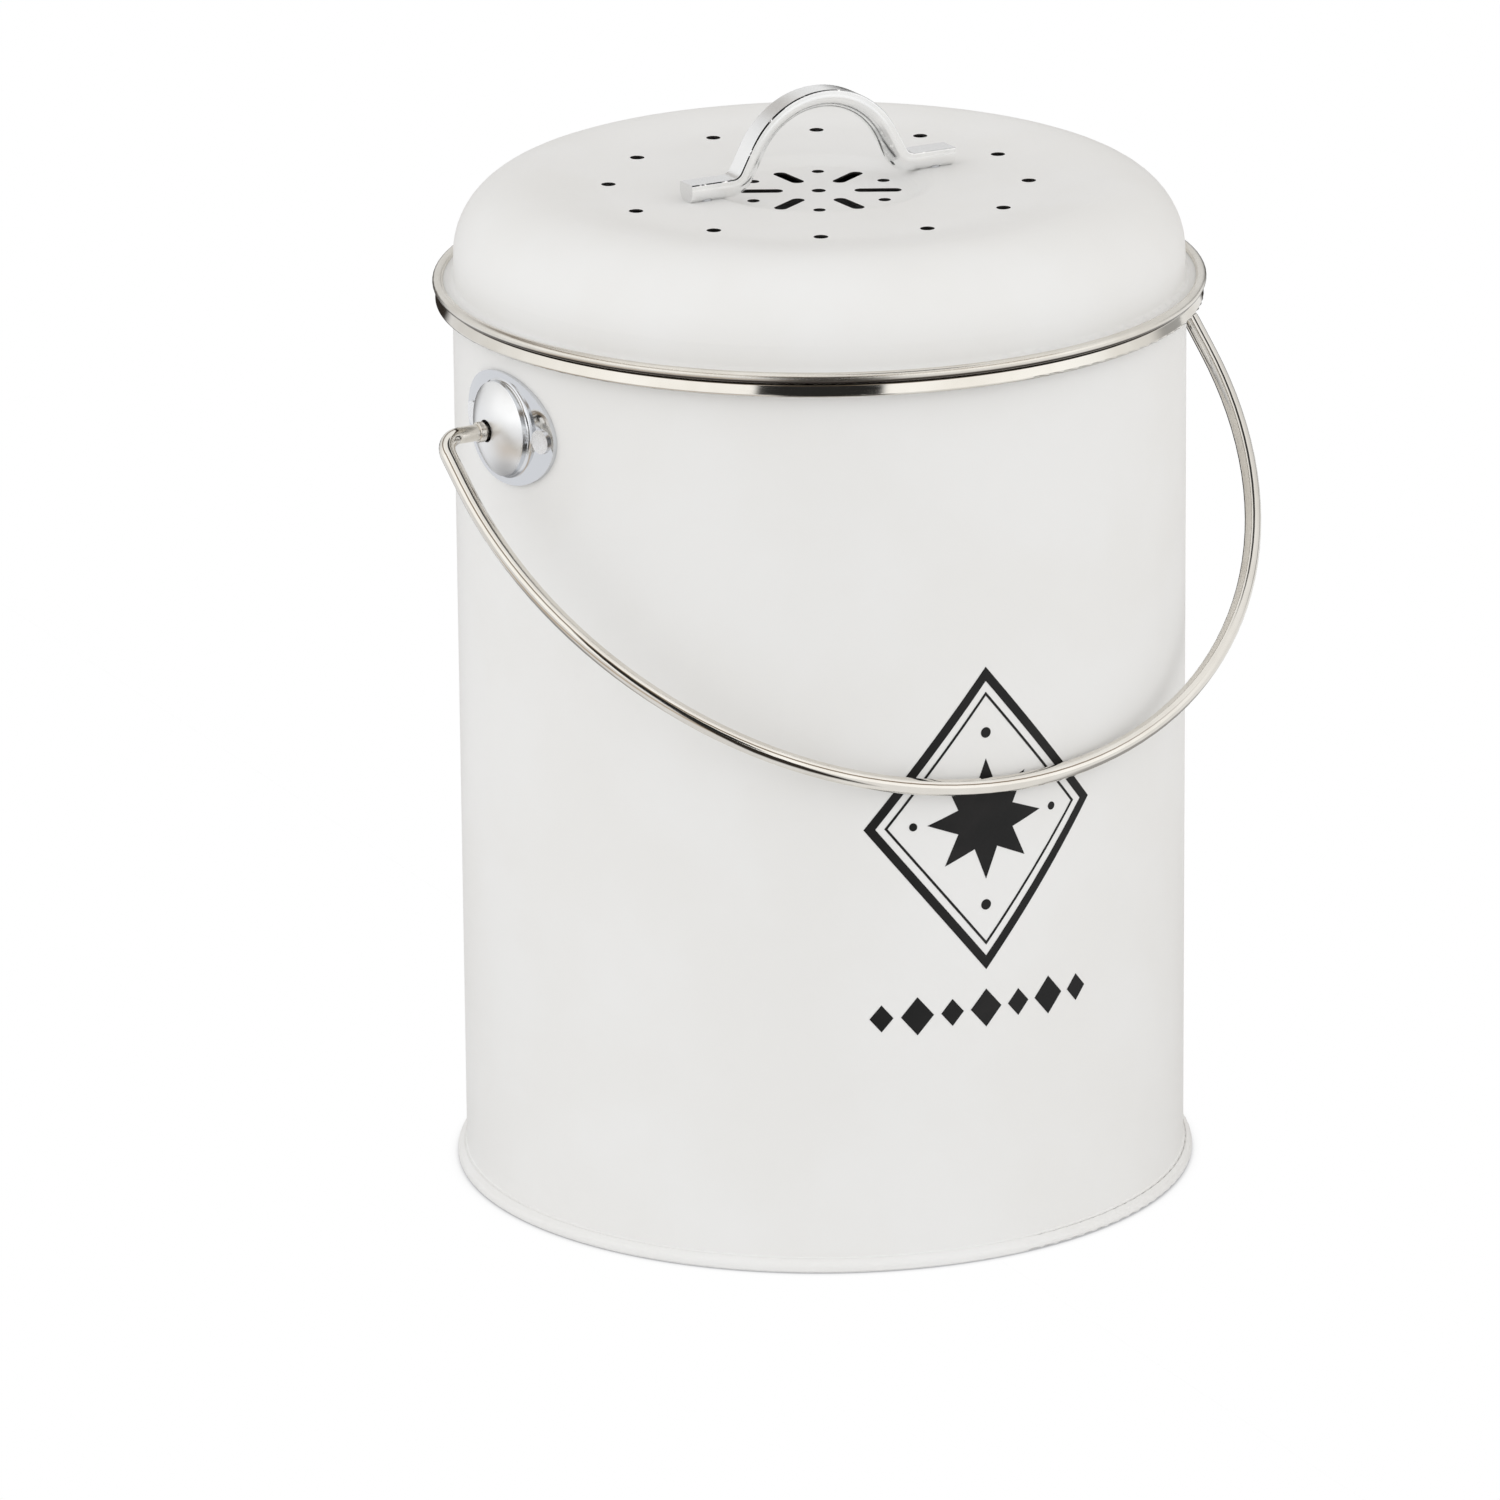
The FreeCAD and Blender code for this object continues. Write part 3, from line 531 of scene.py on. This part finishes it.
def ray_kinds(tree):
    """Whether a ray comes from the camera, and whether it is mirrored or sent through a piece."""
    rays = node(tree, "LightPath", {}).outputs
    shiny = sums(tree, "MAXIMUM", rays["Is Glossy Ray"], rays["Is Transmission Ray"])
    return rays["Is Camera Ray"], shiny


def either(tree, amount, first, second):
    """A shader between two, by an amount from 0 to 1."""
    return node(tree, "MixShader", {0: amount, 1: first, 2: second}).outputs[0]


floor_shape = bmesh.new()
bmesh.ops.create_circle(floor_shape, cap_ends=True, segments=64, radius=FLOOR_RADIUS)
floor_mesh = bpy.data.meshes.new("floor")
floor_shape.to_mesh(floor_mesh)
floor_shape.free()
floor = bpy.data.objects.new("floor", floor_mesh)
bpy.context.scene.collection.objects.link(floor)
paper = bpy.data.materials.new("white_sweep")
paper.use_nodes = True
tree = paper.node_tree
tree.nodes.remove(tree.nodes["Principled BSDF"])
place = node(tree, "TexCoord", {}).outputs["Object"]
away = node(tree, "VectorMath", {0: place}, operation="LENGTH").outputs["Value"]
aside = aside_of(tree, to_camera(tree, place))
aside_any = sums(tree, "ABSOLUTE", aside)
leftward = by_degrees(tree, aside, -98.0, -84.0, 1.0, 0.0)
inside = between(tree, away, 0.28, 0.40, 1.0, 0.0)
beyond = between(tree, away, 0.54, 0.64)
room = tint(tree, sums(tree, "MAXIMUM", leftward, inside, beyond), ROOM_TAN, ROOM_PALE)
room = tint(tree, by_degrees(tree, aside, -2.0, 4.0), room, ROOM_WHITE)
near_camera = sums(
    tree,
    "MULTIPLY",
    by_degrees(tree, aside, -16.0, -9.0),
    by_degrees(tree, aside, 16.0, 23.0, 1.0, 0.0),
    between(tree, away, 0.17, 0.26),
)
close_by = sums(
    tree,
    "MULTIPLY",
    between(tree, away, 0.25, 0.35, 0.6, 0.0),
    by_degrees(tree, aside_any, 62.0, 80.0),
)
far_left = by_degrees(tree, aside, -146.0, -139.0, 1.0, 0.0)
far_right = by_degrees(tree, aside, 153.0, 159.0)
room = tint(tree, sums(tree, "MAXIMUM", near_camera, close_by, far_left, far_right), room, ROOM_DARK)
mirrored = node(tree, "Emission", {"Color": room}).outputs[0]
plain = node(tree, "BsdfDiffuse", {"Color": SWEEP_WHITE}).outputs[0]
glow = node(tree, "Emission", {"Color": UNDER_GLOW}).outputs[0]
plain = either(tree, between(tree, away, 0.084, 0.087, 1.0, 0.0), plain, glow)
contact = node(tree, "AmbientOcclusion", {"Distance": CONTACT_REACH}, samples=12).outputs["AO"]
lit = tint(tree, between(tree, contact, 0.2, 0.85), CONTACT_GREY, WHITE)
shown = node(tree, "Emission", {"Color": lit}).outputs[0]
seen, shiny = ray_kinds(tree)
sweep = either(tree, seen, either(tree, shiny, plain, mirrored), shown)
below = node(tree, "NewGeometry", {}).outputs["Backfacing"]
clear = node(tree, "BsdfTransparent", {}).outputs[0]
tree.links.new(either(tree, below, sweep, clear), tree.nodes["Material Output"].inputs["Surface"])
floor_mesh.materials.append(paper)

# Studio: soft white panels all round, with a dark opening where the camera stands, a dark hatch in the
# roof, a grey skirting at the right back and a brown band under the white ceiling. Polished metal mirrors
# them; matte surfaces get a soft white light, weaker from behind and warm from the right back.
CAMERA_RISE = radians(17.7)
CAMERA_WAY = (0.0, -cos(CAMERA_RISE), sin(CAMERA_RISE))
HATCH_WAY = (0.238, -0.042, 0.970)
CEILING_LIGHT = 0.80
WARM_LIGHT = (0.72, 0.675, 0.62, 1.0)
BAND_BROWN = (0.24, 0.19, 0.14, 1.0)


def opening(tree, way, middle, outer, inner, level):
    """A round dark opening of the given level, soft from its outer to its inner angle in degrees."""
    near = node(tree, "VectorMath", {0: way, 1: middle}, operation="DOT_PRODUCT").outputs["Value"]
    return between(tree, near, cos(radians(outer)), cos(radians(inner)), 1.0, level)


def blend(tree, amount, first, second):
    """A value between two, by an amount from 0 to 1."""
    return node(tree, "Mix", {0: amount, 2: first, 3: second}).outputs[0]


world = bpy.data.worlds.new("studio")
bpy.context.scene.world = world
world.use_nodes = True
tree = world.node_tree
tree.nodes.clear()
way = to_camera(tree, node(tree, "TexCoord", {}).outputs["Generated"])
up = sums(tree, "ARCSINE", axes_of(tree, way)["Z"])
aside = aside_of(tree, way)
aside_any = sums(tree, "ABSOLUTE", aside)
panels = by_degrees(tree, aside_any, 70.0, 135.0, 1.2, 0.80)
skirting = sums(
    tree,
    "MAXIMUM",
    by_degrees(tree, aside, 114.0, 124.0, 1.0, 0.5),
    by_degrees(tree, up, 6.0, 10.0),
)
mirrored = sums(
    tree,
    "MULTIPLY",
    blend(tree, by_degrees(tree, up, 48.0, 62.0), panels, 1.0),
    opening(tree, way, CAMERA_WAY, 20.0, 17.5, 0.02),
    opening(tree, way, HATCH_WAY, 14.0, 10.0, 0.05),
    skirting,
)
from_sides = sums(
    tree,
    "MULTIPLY",
    by_degrees(tree, aside_any, 10.0, 55.0, 1.02, 1.45),
    by_degrees(tree, aside_any, 95.0, 165.0, 1.0, 0.52),
)
even = blend(tree, by_degrees(tree, up, 30.0, 55.0), from_sides, CEILING_LIGHT)
seen, shiny = ray_kinds(tree)
strength = blend(tree, seen, blend(tree, shiny, even, mirrored), 1.0)
soft = sums(tree, "SUBTRACT", 1.0, sums(tree, "MAXIMUM", shiny, seen))
warm = sums(tree, "MULTIPLY", soft, by_degrees(tree, aside, 90.0, 130.0))
band = sums(
    tree,
    "MULTIPLY",
    shiny,
    by_degrees(tree, up, 30.0, 35.0),
    by_degrees(tree, up, 42.0, 48.0, 1.0, 0.0),
    by_degrees(tree, aside, 80.0, 100.0, 1.0, 0.0),
)
colour = tint(tree, band, tint(tree, warm, WHITE, WARM_LIGHT), BAND_BROWN)
sky = node(tree, "Background", {"Color": colour, "Strength": strength}).outputs[0]
tree.links.new(sky, node(tree, "OutputWorld", {}).inputs["Surface"])

# Lamps: two square soft boxes before the bin, which shade the white wall a little to its edges. They are
# unseen in mirrors, which show the panels above.
LAMP_AIM = Vector((0.0, 0.0, 0.13))
LAMP_SIZE = 3.4


def soft_box(name, at, watts):
    """A square soft box that is aimed at the middle of the bin."""
    lamp = bpy.data.lights.new(name, "AREA")
    lamp.shape = "SQUARE"
    lamp.size = LAMP_SIZE
    lamp.energy = watts
    box = bpy.data.objects.new(name, lamp)
    aim = LAMP_AIM - Vector(at)
    box.matrix_world = Matrix.Translation(at) @ aim.to_track_quat("-Z", "Y").to_matrix().to_4x4()
    box.visible_glossy = False
    bpy.context.scene.collection.objects.link(box)


soft_box("left_panel", (-2.1, -0.7, 1.1), 4.8)
soft_box("right_panel", (0.9, -2.1, 1.2), 4.0)

# Camera: a long lens on the bin's front left, slightly above it, as in the photograph. Its place and its
# aim are those that put the rim, the circle of vents and the base where the photograph has them.
PICTURE = 1500.0
LENS_PIXELS = 10715.45
SENSOR = 36.0
CAMERA_AWAY, CAMERA_HEIGHT = 2.50097, 0.90331
STAND = Vector((-CAMERA_AWAY * sin(CAMERA_TURN), -CAMERA_AWAY * cos(CAMERA_TURN), CAMERA_HEIGHT))
PITCH, ROLL, YAW = 0.3097, -0.0089, 0.0071
view = bpy.data.cameras.new("camera")
view.sensor_width = SENSOR
view.lens = LENS_PIXELS * SENSOR / PICTURE
right = Vector((cos(YAW), sin(YAW), 0.0))
ahead = Vector((-sin(YAW) * cos(PITCH), cos(YAW) * cos(PITCH), -sin(PITCH)))
above = right.cross(ahead)
level_turn = Matrix.Rotation(-CAMERA_TURN, 3, "Z")
right_axis = level_turn @ (cos(ROLL) * right + sin(ROLL) * above)
above_axis = level_turn @ (cos(ROLL) * above - sin(ROLL) * right)
back_axis = level_turn @ -ahead
turned = Matrix((right_axis, above_axis, back_axis)).transposed().to_4x4()
camera = bpy.data.objects.new("camera", view)
camera.matrix_world = Matrix.Translation(STAND) @ turned
bpy.context.scene.collection.objects.link(camera)
bpy.context.scene.camera = camera
bpy.context.scene.view_settings.view_transform = "Standard"
